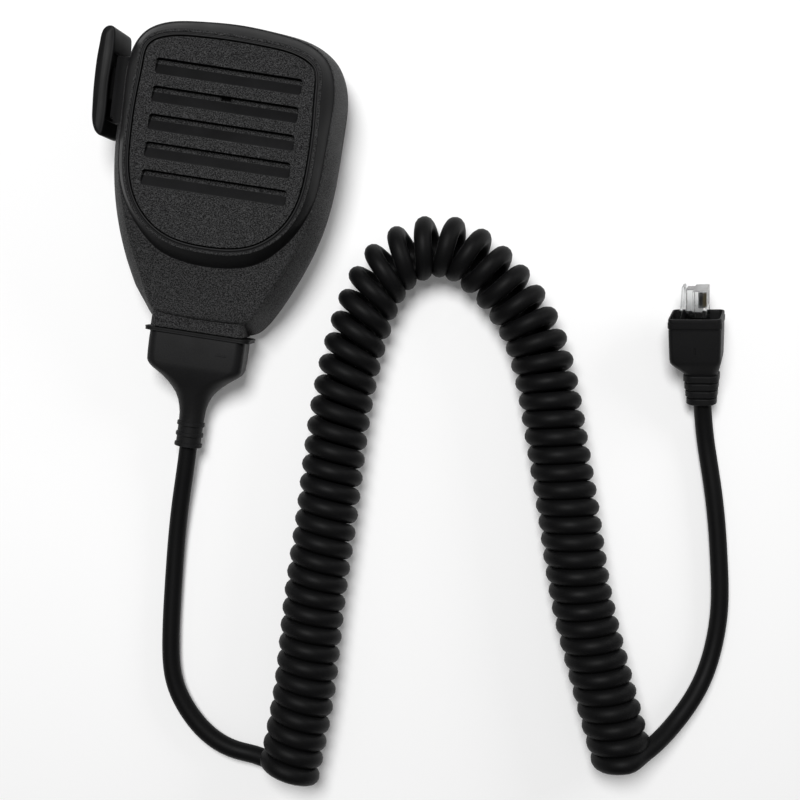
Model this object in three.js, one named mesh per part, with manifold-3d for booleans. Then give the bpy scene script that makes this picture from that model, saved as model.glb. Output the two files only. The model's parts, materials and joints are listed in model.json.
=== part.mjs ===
// Hand microphone with a press-to-talk key, a curly cord and an eight-way modular plug, in millimetres.
// +Y runs to the top of the microphone, +X to its right seen from the front, and +Z up out of the front.
// It lies on its back on the plane z = 0, propped up by its hang-up stud, with the cord laid beside it.
import * as THREE from 'three';
import { mergeVertices } from 'three/addons/utils/BufferGeometryUtils.js';
import loadManifold from 'manifold-3d';

const manifoldLibrary = await loadManifold();
manifoldLibrary.setup();
const { Manifold, Mesh: ManifoldMesh } = manifoldLibrary;

// ---- Driving dimensions ----
const gap = 0.3;                  // clearance between pieces that touch
const wall = 2.1;                 // moulded case wall
const curveDivisions = 2;         // segments between two outline knots
const cutTolerance = 0.02;        // edges shorter than this are merged after a cut

const placement = { x: 3.4, y: 16.4, lift: 17.5, tilt: THREE.MathUtils.degToRad(5.2) };

// Right half of each outline, from the top centre down. The cases end at the neck's straight bottom edge.
const frontEdge = [[0, 46.2], [12, 45.5], [21, 44], [27.3, 40.4], [30.6, 34], [31.3, 22], [31, 8],
  [29.6, -3], [26, -16.5], [20.6, -29.5], [16.3, -38.5], [14.2, -42.5], [14.2, -45.8]];
const partingEdge = [[0, 48.6], [12, 47.9], [22.2, 46.2], [29.6, 41.6], [33.4, 34], [34.3, 21], [34, 5],
  [32.5, -8], [29, -20.5], [24.4, -31.5], [20, -39.2], [16.6, -43], [14.5, -45.8]];
// The bezel and the panel have closed outlines, which end at the bottom centre.
const bezelEdge = [[0, 45.9], [12, 45.2], [20.8, 43.6], [26.9, 40.1], [30.3, 33.2], [30.9, 20.7], [30.5, 6.8],
  [29.1, -3.4], [24.8, -13], [20, -18.8], [14.6, -22.9], [7.4, -25.1], [0, -25.7]];
const panelEdge = [[0, 40.3], [10.5, 40], [19.6, 38.7], [24.2, 35.9], [25.3, 30.5], [26, 20], [26.1, 8],
  [25.2, -1.5], [22.2, -9.4], [18.2, -14.2], [13, -17.6], [6.7, -19.3], [0, -19.7]];

const level = { back: -13.6, parting: -6.6, crest: 13.9, panelTop: 14, panelSeat: 11.4, ceiling: 6.2 };
const lowerFace = { flatTo: -22, flatZ: 8.9, creaseY: -41, creaseZ: 7.4, endY: -45.8, endZ: 6.3 };
const slot = { count: 5, length: 43.4, height: 4.8, pitch: 8.15, topY: 32.7, depth: 1.7, ledge: 1.2 };
const soundHole = { y: 23.8, width: 3, height: 0.9 };

const key = { y: 24.6, outerX: -41.2, thickness: 4, length: 32.6, low: -8, high: 5.6 };
// The ends of the key's inner side reach toward the case: how far at the top and at the bottom.
const keyHood = { top: 1.6, bottom: 0.8, inset: 1.2, height: 5 };
const stem = { width: 10, low: -2.2, high: 3.2, flangeX: -28.2, flangeThickness: 1.2, flangeLength: 19.6 };
const boss = { x: -35.3, y: 24.1, length: 18.2, low: -6.4, high: 6 };
const spring = { offset: 7.7, radius: 1.7, wire: 0.22, turns: 5, z: 0.5 };
const microswitch = { x: -24.6, width: 5.8, length: 11, low: -2.7, high: 3.7 };

const board = { bottom: -4.6, top: -3, postX: 19, postY: -16 };
const caseScrews = [[-18, 40], [18, 40], [-15.5, -33], [15.5, -33]];
const capsule = { y: 23.8, radius: 4.85, low: 3.6, high: 8.6 };
const stud = { y: 18, headRadius: 8.5, neckRadius: 4.6, neckLength: 2.4, headThickness: 2.2 };

const cord = { radius: 2.8, coilRadius: 9.8 };
const boot = { z: -3.5, top: -46.1, end: -82.3, openingX: 10, openingZ: 4.2 };
const radians = THREE.MathUtils.degToRad;
const plug = { x: 158.8, y: -43.6, z: 5.3, yaw: radians(13), pitch: radians(16), roll: radians(-20) };

// Route of the cord on the table, from the microphone's centre: the two plain tails and the coil's axis.
const tailMicRoute = [[0, -81.9, 6.3], [0, -88, 5.7], [-0.1, -99, 4.4], [0.2, -111, 3.3], [1.2, -125, 2.8],
  [3.2, -144, 2.8], [6.4, -157, 2.8], [12.5, -166, 2.8], [20.5, -172.6, 2.8], [29, -175.7, 2.8],
  [36.2, -176.5, 2.8]];
const coilRoute = [[47.1, -178.9], [47.9, -163], [48.1, -150], [47, -123.5], [46.8, -98], [46.1, -69],
  [46.6, -50.7], [48.9, -32.7], [55.2, -15.9], [70.8, -7.6], [87.2, -14.6], [100.1, -27.5], [108.3, -43.9],
  [114.4, -62], [122.3, -86.5], [129.9, -110.7], [137.2, -128.6], [142.3, -140.4], [147.6, -152.5]];
const tailPlugRoute = [[154.2, -155.6, 13.7], [158.3, -152.4, 11.2], [163.9, -146.9, 7.6], [169.6, -138.2, 5.2],
  [173.2, -129.5, 3.6], [175, -119, 2.8], [174.9, -107, 2.8], [173, -95, 2.8], [170, -81, 2.8],
  [166.3, -67.5, 2.8], [162.2, -54.5, 3.1], [158.9, -44.05, 5.16]];

// ---- Materials ----
function plastic(color, roughness, metalness = 0) {
  return new THREE.MeshStandardMaterial({ color, roughness, metalness });
}
const materials = {
  texturedShell: plastic(0x1d1d1e, 0.62),
  smoothShell: plastic(0x161617, 0.42),
  rubber: plastic(0x121213, 0.72),
  cordJacket: plastic(0x131314, 0.6),
  fabric: plastic(0x1a1a1a, 0.9),
  steel: plastic(0xa9abad, 0.32, 0.95),
  brass: plastic(0xd8b35a, 0.3, 0.95),
  fibreglass: plastic(0x1f5a36, 0.5),
  whitePlastic: plastic(0xe4e0d2, 0.45),
  component: plastic(0x202022, 0.5),
  capacitorSleeve: plastic(0x2b2f57, 0.4),
  clearPlastic: plastic(0xdfe5e6, 0.12),
  wireRed: plastic(0xa32222, 0.5),
  wireWhite: plastic(0xd9d6cc, 0.5),
};

// ---- Solids ----
function solid(geometry) {
  const source = geometry.clone();
  for (const name of Object.keys(source.attributes)) {
    if (name !== 'position') source.deleteAttribute(name);
  }
  const merged = mergeVertices(source, 1e-4);
  const triangles = [];
  for (let i = 0; i < merged.index.count; i += 3) {
    const [a, b, c] = merged.index.array.slice(i, i + 3);
    if (a !== b && b !== c && c !== a) triangles.push(a, b, c);
  }
  return new Manifold(new ManifoldMesh({
    numProp: 3,
    vertProperties: new Float32Array(merged.attributes.position.array),
    triVerts: new Uint32Array(triangles),
  }));
}

function geometryOf(manifold) {
  const mesh = manifold.setTolerance(cutTolerance).getMesh();
  const indexed = new THREE.BufferGeometry();
  indexed.setAttribute('position', new THREE.BufferAttribute(mesh.vertProperties, 3));
  indexed.setIndex(new THREE.BufferAttribute(mesh.triVerts, 1));
  const flat = indexed.toNonIndexed();
  flat.computeVertexNormals();
  return flat;
}

function box(x0, x1, y0, y1, z0, z1) {
  const geometry = new THREE.BoxGeometry(x1 - x0, y1 - y0, z1 - z0);
  geometry.translate((x0 + x1) / 2, (y0 + y1) / 2, (z0 + z1) / 2);
  return solid(geometry);
}

function post(x, y, radius, z0, z1, sides = 16) {
  const geometry = new THREE.CylinderGeometry(radius, radius, z1 - z0, sides);
  geometry.rotateX(Math.PI / 2);
  geometry.translate(x, y, (z0 + z1) / 2);
  return solid(geometry);
}

// Rings of equal length, each counter-clockwise seen from above, joined from the lowest to the highest.
function loft(rings) {
  const count = rings[0].length;
  const points = rings.flat();
  const lowCentre = points.length;
  const highCentre = lowCentre + 1;
  const ends = [rings[0], rings.at(-1)].map((ring) => (
    ring.reduce((sum, point) => sum.add(point), new THREE.Vector3()).divideScalar(count)));
  const positions = [...points, ...ends].flatMap((point) => point.toArray());
  const index = [];
  for (let ring = 0; ring < rings.length - 1; ring += 1) {
    for (let i = 0; i < count; i += 1) {
      const a = ring * count + i;
      const b = ring * count + (i + 1) % count;
      index.push(a, b, b + count, a, b + count, a + count);
    }
  }
  const last = (rings.length - 1) * count;
  for (let i = 0; i < count; i += 1) {
    const next = (i + 1) % count;
    index.push(lowCentre, next, i, highCentre, last + i, last + next);
  }
  const geometry = new THREE.BufferGeometry();
  geometry.setAttribute('position', new THREE.Float32BufferAttribute(positions, 3));
  geometry.setIndex(index);
  return geometry;
}

// The whole outline of a right half, counter-clockwise: up its right side and down its left side.
function outline(half, closed) {
  const right = half.map(([x, y]) => new THREE.Vector3(x, y, 0)).reverse();
  const left = half.slice(1).map(([x, y]) => new THREE.Vector3(-x, y, 0));
  if (closed) left.pop();
  const knots = [...right, ...left];
  const spans = closed ? knots.length : knots.length - 1;
  const points = new THREE.CatmullRomCurve3(knots, closed, 'catmullrom', 0.5).getPoints(spans * curveDivisions);
  if (closed) points.pop();
  return points;
}

function inset(ring, distance) {
  return ring.map((point, i) => {
    const before = ring[(i + ring.length - 1) % ring.length];
    const after = ring[(i + 1) % ring.length];
    const arriving = point.clone().sub(before).normalize();
    const leaving = after.clone().sub(point).normalize();
    const along = arriving.add(leaving).normalize();
    const reach = distance / along.dot(leaving);
    return new THREE.Vector3(point.x - along.y * reach, point.y + along.x * reach, point.z);
  });
}

function atHeight(ring, height) {
  return ring.map((point) => (
    new THREE.Vector3(point.x, point.y, typeof height === 'function' ? height(point.y) : height)));
}

function prism(ring, z0, z1) {
  return solid(loft([atHeight(ring, z0), atHeight(ring, z1)]));
}

// A rounded rectangle in the plane across +Y, with `squareness` 2 for an ellipse and more for a box.
function crossSection(y, halfWidth, halfHeight, squareness, centreZ = 0, count = 32) {
  return Array.from({ length: count }, (_, i) => {
    const angle = (i / count) * Math.PI * 2;
    const round = (value) => Math.sign(value) * Math.abs(value) ** (2 / squareness);
    const across = halfWidth * round(Math.cos(angle));
    return new THREE.Vector3(across, y, centreZ + halfHeight * round(Math.sin(angle)));
  });
}

function tube(points, radius, steps, sides = 10) {
  const section = new THREE.Shape();
  section.absarc(0, 0, radius, 0, Math.PI * 2);
  return new THREE.ExtrudeGeometry(new THREE.Shape(section.getSpacedPoints(sides).slice(0, sides)), {
    steps,
    bevelEnabled: false,
    extrudePath: new THREE.CatmullRomCurve3(points.map((point) => new THREE.Vector3(...point))),
  });
}

// ---- Scene graph ----
const handMicrophone = new THREE.Group();
const table = new THREE.Group();
table.position.set(placement.x, placement.y, 0);
const mic = new THREE.Group();
mic.position.z = placement.lift;
mic.rotation.x = placement.tilt;
const modularPlug = new THREE.Group();
modularPlug.position.set(plug.x, plug.y, plug.z);
modularPlug.rotation.set(plug.pitch, plug.roll, plug.yaw, 'ZXY');
table.add(mic, modularPlug);
handMicrophone.add(table);

function add(group, name, shape, material) {
  const mesh = new THREE.Mesh(shape.isBufferGeometry ? shape : geometryOf(shape), material);
  mesh.name = name;
  group.add(mesh);
}

// ---- Cases ----
const frontRing = outline(frontEdge, false);
const partingRing = outline(partingEdge, false);
const bezelRing = outline(bezelEdge, true);
const panelRing = outline(panelEdge, true);

function lowerFaceZ(y) {
  const { flatTo, flatZ, creaseY, creaseZ, endY, endZ } = lowerFace;
  if (y > flatTo) return flatZ;
  if (y > creaseY) return THREE.MathUtils.mapLinear(y, flatTo, creaseY, flatZ, creaseZ);
  return THREE.MathUtils.mapLinear(y, creaseY, endY, creaseZ, endZ);
}

function neckOpening() {
  return box(-boot.openingX, boot.openingX, -47, -43, boot.z - boot.openingZ, boot.z + boot.openingZ);
}

function frontCase() {
  const edge = 0.9;
  const centre = new THREE.Vector3(0, -8, 0);
  const inner = inset(frontRing, edge).map((point) => point.clone().lerp(centre, 0.45));
  const shell = solid(loft([
    atHeight(partingRing, level.parting),
    atHeight(frontRing, (y) => lowerFaceZ(y) - edge),
    atHeight(inset(frontRing, edge), lowerFaceZ),
    atHeight(inner, lowerFaceZ),
  ]));
  const bezel = solid(loft([
    atHeight(bezelRing, 4),
    atHeight(bezelRing, 9.1),
    atHeight(inset(bezelRing, 0.5), 9.8),
    atHeight(inset(panelRing, -2), level.crest - 0.3),
    atHeight(inset(panelRing, -1.5), level.crest),
  ]));
  const cavity = solid(loft([
    atHeight(inset(partingRing, wall), level.parting - 1),
    atHeight(inset(frontRing, wall + 0.4), level.ceiling),
  ])).intersect(box(-40, 40, -43.6, 60, -20, 20));
  const upperCavity = prism(inset(panelRing, 1.5), 4, 9.2);
  const soundPassage = post(0, soundHole.y, 2.5, 9, 12);
  const pocket = prism(inset(panelRing, -gap), level.panelSeat, 16);
  const collar = box(boss.x, -29, boss.y - boss.length / 2, boss.y + boss.length / 2, boss.low, boss.high);

  let body = shell.add(bezel).add(collar)
    .subtract(cavity).subtract(upperCavity).subtract(soundPassage).subtract(pocket);
  body = addFrontPosts(body);
  return body.subtract(keyChannel()).subtract(neckOpening());
}

function addFrontPosts(body) {
  let result = body;
  for (const [x, y] of caseScrews) {
    result = result.add(post(x, y, 3, level.parting + gap, 7)).subtract(post(x, y, 1.5, level.parting, 4));
  }
  for (const side of [-1, 1]) {
    result = result.add(post(side * board.postX, board.postY, 2.6, board.top + gap, 7))
      .subtract(post(side * board.postX, board.postY, 1.1, board.top, 3));
    result = result.add(post(side * 6.5, -36.5, 2.3, -6.2, 7)).subtract(post(side * 6.5, -36.5, 1.1, -7, -1));
    const y = key.y + side * spring.offset;
    result = result.add(box(-22.3, -20.9, y - 1.7, y + 1.7, -2.6, 10));
  }
  const socket = post(0, capsule.y, 8.2, 5.4, 10).subtract(post(0, capsule.y, 6.6, 5, 9.4));
  return result.add(socket);
}

function keyChannel() {
  const clearance = 0.4;
  const half = stem.width / 2 + clearance;
  const passage = box(-37, -27, key.y - half, key.y + half, stem.low - clearance, stem.high + clearance);
  const sealSeat = box(-37, boss.x + 1.5, key.y - half - 1.7, key.y + half + 1.7,
    stem.low - 2.1, stem.high + 2.1);
  return passage.add(sealSeat);
}

function rearCase() {
  const { back, parting } = level;
  const top = parting - gap;
  const outer = solid(loft([
    atHeight(inset(partingRing, 4.4), back),
    atHeight(inset(partingRing, 2), back + 0.5),
    atHeight(inset(partingRing, 0.6), back + 1.9),
    atHeight(partingRing, back + 4),
    atHeight(partingRing, top),
  ]));
  const cavity = solid(loft([
    atHeight(inset(partingRing, 6.2), back + wall),
    atHeight(inset(partingRing, 3.4), back + wall + 1),
    atHeight(inset(partingRing, wall), back + wall + 3),
    atHeight(inset(partingRing, wall), top + 1),
  ])).intersect(box(-40, 40, -43.6, 60, -20, 20));
  const gasketSeat = prism(inset(partingRing, 0.9), top - 1.2, top + 1)
    .intersect(box(-40, 40, -44.4, 60, -20, 20));
  let body = outer.subtract(cavity).subtract(gasketSeat).subtract(neckOpening());
  for (const [x, y] of caseScrews) {
    body = body.add(post(x, y, 3.7, back + 1.5, top - 0.1))
      .subtract(post(x, y, 2.8, back - 1, back + 3.4)).subtract(post(x, y, 1.5, back, top + 1));
  }
  return body.add(post(0, stud.y, 5.5, back + 1.5, back + 3.2))
    .subtract(post(0, stud.y, 1.9, back - 1, back + 5));
}

function gasket() {
  const top = level.parting - gap;
  return prism(inset(partingRing, 1.2), top - 0.9, top)
    .subtract(prism(inset(partingRing, 2), top - 2, top + 1))
    .subtract(box(-40, 40, -50, -42.6, -20, 20));
}

function frontPanel() {
  const groove = new THREE.Shape([
    new THREE.Vector2(0.4, 1), new THREE.Vector2(0.15, -slot.depth), new THREE.Vector2(-slot.ledge, -slot.depth),
    new THREE.Vector2(-slot.height, 0), new THREE.Vector2(-slot.height - 0.6, 1),
  ]);
  const window = new THREE.Shape();
  const [halfLength, halfHeight, radius] = [slot.length / 2, slot.height / 2, 1.1];
  window.moveTo(-halfLength + radius, -halfHeight);
  for (const [x, y, start] of [[1, -1, -0.5], [1, 1, 0], [-1, 1, 0.5], [-1, -1, 1]]) {
    window.absarc(x * (halfLength - radius), y * (halfHeight - radius), radius,
      start * Math.PI, (start + 0.5) * Math.PI);
  }
  let body = prism(inset(panelRing, 0), level.panelSeat + gap, level.panelTop);
  for (let i = 0; i < slot.count; i += 1) {
    const top = slot.topY - i * slot.pitch;
    const profile = new THREE.ExtrudeGeometry(groove, { depth: slot.length, bevelEnabled: false });
    profile.rotateY(Math.PI / 2).rotateX(Math.PI / 2);
    profile.translate(-slot.length / 2, top, level.panelTop);
    const mask = new THREE.ExtrudeGeometry(window, { depth: 4, bevelEnabled: false, curveSegments: 3 });
    mask.translate(0, top - slot.height / 2, level.panelTop - 3);
    body = body.subtract(solid(profile).intersect(solid(mask)));
  }
  const { y, width, height } = soundHole;
  return body.subtract(box(-width / 2, width / 2, y - height / 2, y + height / 2, 11, 14));
}

// ---- Press-to-talk key ----
// Bowed outer face, rounded ends and a flat inner face, counter-clockwise from the inner face's lower end.
function paddleOutline() {
  const { y, outerX, thickness, length } = key;
  const innerX = outerX + thickness;
  const end = length / 2;
  const quarter = new THREE.QuadraticBezierCurve(
    new THREE.Vector2(innerX, y + end - 1), new THREE.Vector2(innerX, y + end),
    new THREE.Vector2(innerX - 1, y + end));
  const crown = new THREE.CubicBezierCurve(
    new THREE.Vector2(innerX - 1, y + end), new THREE.Vector2(outerX - 0.4, y + end),
    new THREE.Vector2(outerX, y + end - 3), new THREE.Vector2(outerX, y));
  const upper = [...quarter.getPoints(3), ...crown.getPoints(8).slice(1)];
  const lower = upper.slice(0, -1).map((point) => new THREE.Vector2(point.x, 2 * y - point.y)).reverse();
  return [...upper, ...lower].map((point) => new THREE.Vector3(point.x, point.y, 0));
}

function pressKey() {
  const { y, outerX, thickness, length, low, high } = key;
  const edge = 0.7;
  const ring = paddleOutline();
  const plate = loft([atHeight(inset(ring, edge), low), atHeight(ring, low + edge),
    atHeight(ring, high - edge), atHeight(inset(ring, edge), high)]);
  const half = stem.width / 2;
  const { flangeX, flangeThickness, flangeLength, low: z0, high: z1 } = stem;
  const inside = flangeX + flangeThickness;
  const innerX = outerX + thickness;
  const [bottomEnd, topEnd] = [y - length / 2 + keyHood.inset, y + length / 2 - keyHood.inset];
  const hood = (reach, from, to) => box(innerX - 1, innerX + reach, from, to, low + edge, low + keyHood.height);
  return solid(plate)
    .add(hood(keyHood.top, topEnd - 4.4, topEnd)).add(hood(keyHood.bottom, bottomEnd, bottomEnd + 3.8))
    .add(box(innerX - 1, inside, y - half, y + half, z0, z1))
    .add(box(flangeX, inside, y - flangeLength / 2, y + flangeLength / 2, z0 - 0.3, z1 + 0.5));
}

function keySeal() {
  const half = stem.width / 2;
  const around = (grow, x0, x1) => box(x0, x1, key.y - half - grow, key.y + half + grow,
    stem.low - grow, stem.high + grow);
  return around(1.8, boss.x + 0.3, boss.x + 1.3).subtract(around(gap, -40, -30));
}

function coilSpring(y) {
  const { radius, wire, turns, z } = spring;
  const x0 = stem.flangeX + stem.flangeThickness + wire + gap;
  const length = -22.3 - gap - wire - x0;
  const perTurn = 8;
  const points = Array.from({ length: turns * perTurn + 1 }, (_, i) => {
    const angle = (i / perTurn) * Math.PI * 2;
    const x = x0 + (length * i) / (turns * perTurn);
    return [x, y + radius * Math.cos(angle), z + radius * Math.sin(angle)];
  });
  return tube(points, wire, turns * perTurn, 6);
}

function switchBody() {
  const { x, width, length, low, high } = microswitch;
  return box(x, x + width, key.y - length / 2, key.y + length / 2, low, high)
    .subtract(box(x - 1, x + 3, key.y - 2.1, key.y + 2.1, -0.9, 1.9));
}

add(mic, 'front_case', frontCase(), materials.smoothShell);
add(mic, 'front_panel', frontPanel(), materials.texturedShell);
add(mic, 'dust_screen', post(0, soundHole.y, 5.5, 8.7, 9.1), materials.fabric);
add(mic, 'rear_case', rearCase(), materials.texturedShell);
add(mic, 'case_gasket', gasket(), materials.rubber);

add(mic, 'ptt_key', pressKey(), materials.smoothShell);
add(mic, 'ptt_seal', keySeal(), materials.rubber);
add(mic, 'ptt_spring_upper', coilSpring(key.y + spring.offset), materials.steel);
add(mic, 'ptt_spring_lower', coilSpring(key.y - spring.offset), materials.steel);
add(mic, 'switch_body', switchBody(), materials.component);
add(mic, 'switch_plunger', box(-26.7, -23.2, key.y - 1.6, key.y + 1.6, -0.5, 1.5), materials.whitePlastic);
const terminalYs = [-4, 0, 4].map((step) => key.y + step);
terminalYs.forEach((y, i) => {
  add(mic, `switch_terminal_${i + 1}`, box(-22.1, -21.3, y - 0.4, y + 0.4, -6.2, -3), materials.brass);
});

// ---- Circuit board and what it carries ----
function circuitBoard() {
  const outlinePoints = [[-25.4, 30], [-21.5, 36], [21.5, 36], [25.4, 30], [25.4, -4], [19.8, -21.5],
    [-19.8, -21.5], [-25.4, -4]];
  const shape = new THREE.Shape(outlinePoints.map(([x, y]) => new THREE.Vector2(x, y)));
  const plate = new THREE.ExtrudeGeometry(shape, { depth: board.top - board.bottom, bevelEnabled: false });
  plate.translate(0, 0, board.bottom);
  let body = solid(plate);
  for (const side of [-1, 1]) body = body.subtract(post(side * board.postX, board.postY, 1.3, -6, -2));
  for (const y of terminalYs) body = body.subtract(box(-22.5, -20.9, y - 0.8, y + 0.8, -6, -2));
  return body;
}

function screw(x, y, headBottom, headRadius, headHeight, shankRadius, tip) {
  const headTop = headBottom + headHeight;
  const recess = (reachX, reachY) => box(x - reachX, x + reachX, y - reachY, y + reachY,
    headBottom - 1, headBottom + 0.7);
  return post(x, y, headRadius, headBottom, headTop).add(post(x, y, shankRadius, headTop - 0.1, tip, 12))
    .subtract(recess(headRadius * 0.6, 0.35)).subtract(recess(0.35, headRadius * 0.6));
}

add(mic, 'circuit_board', circuitBoard(), materials.fibreglass);
add(mic, 'capsule_holder', post(0, capsule.y, 6.3, 2.6, 8.4).subtract(
  post(0, capsule.y, capsule.radius + gap, 3.3, 9)), materials.rubber);
add(mic, 'microphone_capsule', post(0, capsule.y, capsule.radius, capsule.low, capsule.high - gap, 24)
  .subtract(post(0, capsule.y, 1, 7.8, 9)), materials.steel);
add(mic, 'amplifier_chip', box(2, 7, 4, 8, board.top + gap, board.top + 1.9), materials.component);
add(mic, 'capacitor_1', post(-6, 2, 2.5, board.top + gap, 3.2), materials.capacitorSleeve);
add(mic, 'capacitor_2', post(-6, -5, 2, board.top + gap, 2.2), materials.capacitorSleeve);
add(mic, 'connector_header', box(-5.5, 5.5, -20, -15, board.top + gap, 0.4), materials.whitePlastic);
add(mic, 'connector_plug', box(-5, 5, -19.6, -15.4, 0.7, 3.4), materials.whitePlastic);

// ---- Fasteners ----
for (const [i, side] of [-1, 1].entries()) {
  add(mic, `board_screw_${i + 1}`, screw(side * board.postX, board.postY, board.bottom - 1.6, 2, 1.3, 0.8, 1.5),
    materials.steel);
}
caseScrews.forEach(([x, y], i) => {
  add(mic, `case_screw_${i + 1}`, screw(x, y, level.back + 0.8, 2.5, 2.3, 1.2, 2), materials.steel);
});

function hangUpStud() {
  const { headRadius, neckRadius, neckLength, headThickness } = stud;
  const high = level.back - gap;
  const shoulder = high - neckLength;
  const face = shoulder - headThickness;
  const profile = [[0, face], [headRadius - 0.6, face], [headRadius, face + 0.6], [headRadius, shoulder - 0.5],
    [headRadius - 0.5, shoulder], [neckRadius, shoulder], [neckRadius, high], [0, high]];
  const geometry = new THREE.LatheGeometry(profile.map(([r, z]) => new THREE.Vector2(r, z)), 32);
  geometry.rotateX(Math.PI / 2).translate(0, stud.y, 0);
  const countersink = post(0, stud.y, 3.3, face - 1, face + 1.9);
  return solid(geometry).subtract(countersink).subtract(post(0, stud.y, 1.9, face, high + 1));
}

const studFace = level.back - gap - stud.neckLength - stud.headThickness;
add(mic, 'hangup_stud', hangUpStud(), materials.steel);
add(mic, 'stud_screw', screw(0, stud.y, studFace + 0.3, 2.9, 1.3, 1.5, -6.4), materials.steel);
const lugFloor = level.back + 3.2 + gap;
add(mic, 'ground_lug', post(0, stud.y, 3.6, lugFloor, lugFloor + 0.5)
  .add(box(-1.5, 1.5, stud.y - 11, stud.y - 2, lugFloor, lugFloor + 0.5))
  .subtract(post(0, stud.y, 1.9, -12, -5)), materials.brass);
add(mic, 'stud_washer', post(0, stud.y, 3.6, lugFloor + 0.8, lugFloor + 1.3)
  .subtract(post(0, stud.y, 1.9, -12, -5)), materials.steel);
add(mic, 'stud_nut', post(0, stud.y, 3.4, lugFloor + 1.6, lugFloor + 3.2, 6)
  .subtract(post(0, stud.y, 1.8, -12, -4)), materials.steel);

// ---- Cord entry ----
function cordBoot() {
  const profile = [[-46.1, 16.4, 8.4, 6], [-47.4, 16.4, 8.4, 6], [-47.6, 14.9, 7.7, 6], [-57, 14.7, 7.6, 5],
    [-59.2, 13, 7.2, 3.8], [-61.2, 10, 6.6, 3], [-64, 7.1, 5.6, 2.4], [-67, 5.1, 4.8, 2], [-70, 4.2, 4.2, 2],
    [-73.6, 3.8, 3.8, 2], [-73.8, 4.2, 4.2, 2]];
  const rib = 2.6;
  for (let i = 0; i < 3; i += 1) {
    const y = -76.1 - i * (rib + 0.3);
    profile.push([y, 4.2, 4.2, 2], [y - 0.15, 3.8, 3.8, 2], [y - 0.3, 4.2, 4.2, 2]);
  }
  profile.push([boot.end, 4.2, 4.2, 2]);
  const rings = profile.map(([y, halfWidth, halfHeight, squareness]) => (
    crossSection(y, halfWidth, halfHeight, squareness, boot.z).reverse()));
  const halfX = boot.openingX - gap;
  const halfZ = boot.openingZ - gap;
  const bore = new THREE.CylinderGeometry(cord.radius + gap, cord.radius + gap, 60, 20);
  bore.translate(0, -65, boot.z);
  return solid(loft(rings.reverse()))
    .add(box(-halfX, halfX, -46.2, -43, boot.z - halfZ, boot.z + halfZ))
    .add(box(-halfX - 0.9, halfX + 0.9, -43.3, -41.8, boot.z - halfZ - 1.2, boot.z + halfZ + 1.2))
    .subtract(solid(bore));
}

add(mic, 'cord_boot', cordBoot(), materials.rubber);
add(mic, 'cord_root', tube([[0, boot.end, boot.z], [0, -60, boot.z], [0, -33, boot.z]], cord.radius, 4, 12),
  materials.cordJacket);
let clampBar = box(-9, 9, -38.5, -34.5, -8.3, -6.5);
for (const [i, side] of [-1, 1].entries()) {
  clampBar = clampBar.subtract(post(side * 6.5, -36.5, 1.1, -9, -6));
  add(mic, `clamp_screw_${i + 1}`, screw(side * 6.5, -36.5, -10, 1.9, 1.4, 0.8, -2), materials.steel);
}
add(mic, 'cord_clamp', clampBar, materials.steel);
const wireMaterials = [materials.wireRed, materials.wireWhite, materials.component, materials.brass];
wireMaterials.forEach((material, i) => {
  const rootX = (i - 1.5) * 1.2;
  const plugX = (i - 1.5) * 2.4;
  add(mic, `lead_wire_${i + 1}`, tube([[rootX, -32.6, boot.z], [rootX, -29, boot.z + 0.4], [plugX, -24, 0.6],
    [plugX, -21, 2], [plugX, -19.9, 2.1]], 0.5, 10, 6), material);
});

// ---- Modular plug, with its nose toward its own +Y ----
// The boot's open box and the plug inside it sit to one side of the cord.
const plugBox = { x: -1.5, halfOpening: 7.4 };
const plugBlock = { x: -1.2, halfThickness: 3.3, halfWidth: 5.84, halfSpine: 3.1, step: 1, nose: 37 };

function plugBoot() {
  const sections = [[0, 4.4, 4.2, 2], [2, 4.6, 4.4, 2]];
  for (let i = 0; i < 3; i += 1) {
    const y = 2 + i * 2.5;
    const grow = 0.35 * i;
    sections.push([y + 0.2, 3.7 + grow, 3.6 + grow, 2], [y + 0.9, 3.7 + grow, 3.6 + grow, 2],
      [y + 1.1, 4.9 + grow, 4.7 + grow, 2.2], [y + 2.5, 4.9 + grow, 4.7 + grow, 2.2]);
  }
  sections.push([9.8, 5.2, 5, 2.4], [11.2, 5.6, 5.3, 3, -0.4], [13, 7, 6.6, 4, -1],
    [14.6, 7.8, 7.3, 5, plugBox.x],
    [24, 8, 7.5, 6, plugBox.x], [24.2, 8.2, 7.8, 6, plugBox.x], [28.6, 8.2, 7.8, 6, plugBox.x]);
  const rings = sections.map(([y, halfWidth, halfHeight, squareness, centreX = 0]) => (
    crossSection(y, halfWidth, halfHeight, squareness).reverse()
      .map((point) => point.add(new THREE.Vector3(centreX, 0, 0)))));
  const { x, halfOpening } = plugBox;
  return solid(loft(rings)).subtract(box(x - halfOpening, x + halfOpening, 19, 30, -6.6, 6.6));
}

const contactPitch = 1.02;
const contactZ = (i) => (i - 3.5) * contactPitch;

function plugBody() {
  const { x, halfThickness, halfWidth, halfSpine, step, nose } = plugBlock;
  let body = box(x - step, x + halfThickness, 19.3, nose, -halfWidth, halfWidth)
    .add(box(x - halfThickness, x, 19.3, nose, -halfSpine, halfSpine));
  for (let i = 0; i < 8; i += 1) {
    body = body.subtract(box(x + 0.6, x + 5, 31.6, 36.4, contactZ(i) - 0.36, contactZ(i) + 0.36));
  }
  return body.subtract(box(x + 1.9, x + 5, 18, 30.8, -4.6, 4.6));
}

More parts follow.
